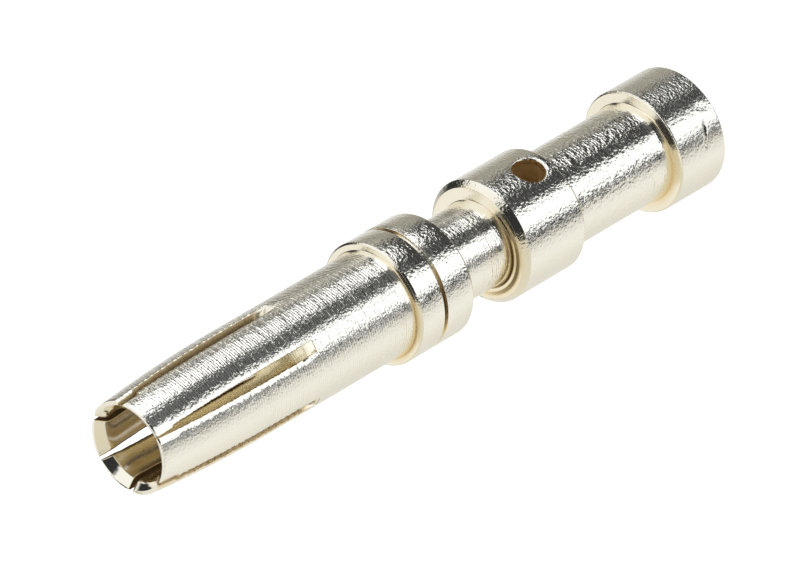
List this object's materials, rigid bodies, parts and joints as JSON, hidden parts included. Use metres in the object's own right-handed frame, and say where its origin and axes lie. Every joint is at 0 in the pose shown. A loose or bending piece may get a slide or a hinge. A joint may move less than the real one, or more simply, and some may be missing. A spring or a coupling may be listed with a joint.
{
  "type": "crimp contact",
  "caption": "Turned socket contact with sprung slotted tines for a round pin, a grooved collar and a neck for latching, and a bored crimp barrel with an inspection hole.",
  "frame": {"origin": "centre of the crimp end's flat rear face, on which the contact stands", "axes": "+Z along the contact's axis from the crimp end to the socket mouth, -Y through the inspection hole"},
  "size_m": [0.0043, 0.0042, 0.026],
  "materials": {
    "plated_contact": "bright silver plating over a turned copper alloy, with fine turning marks and a grainy sheen"
  },
  "bodies": {
    "root": {"contact": "plated_contact"}
  },
  "joints": []
}
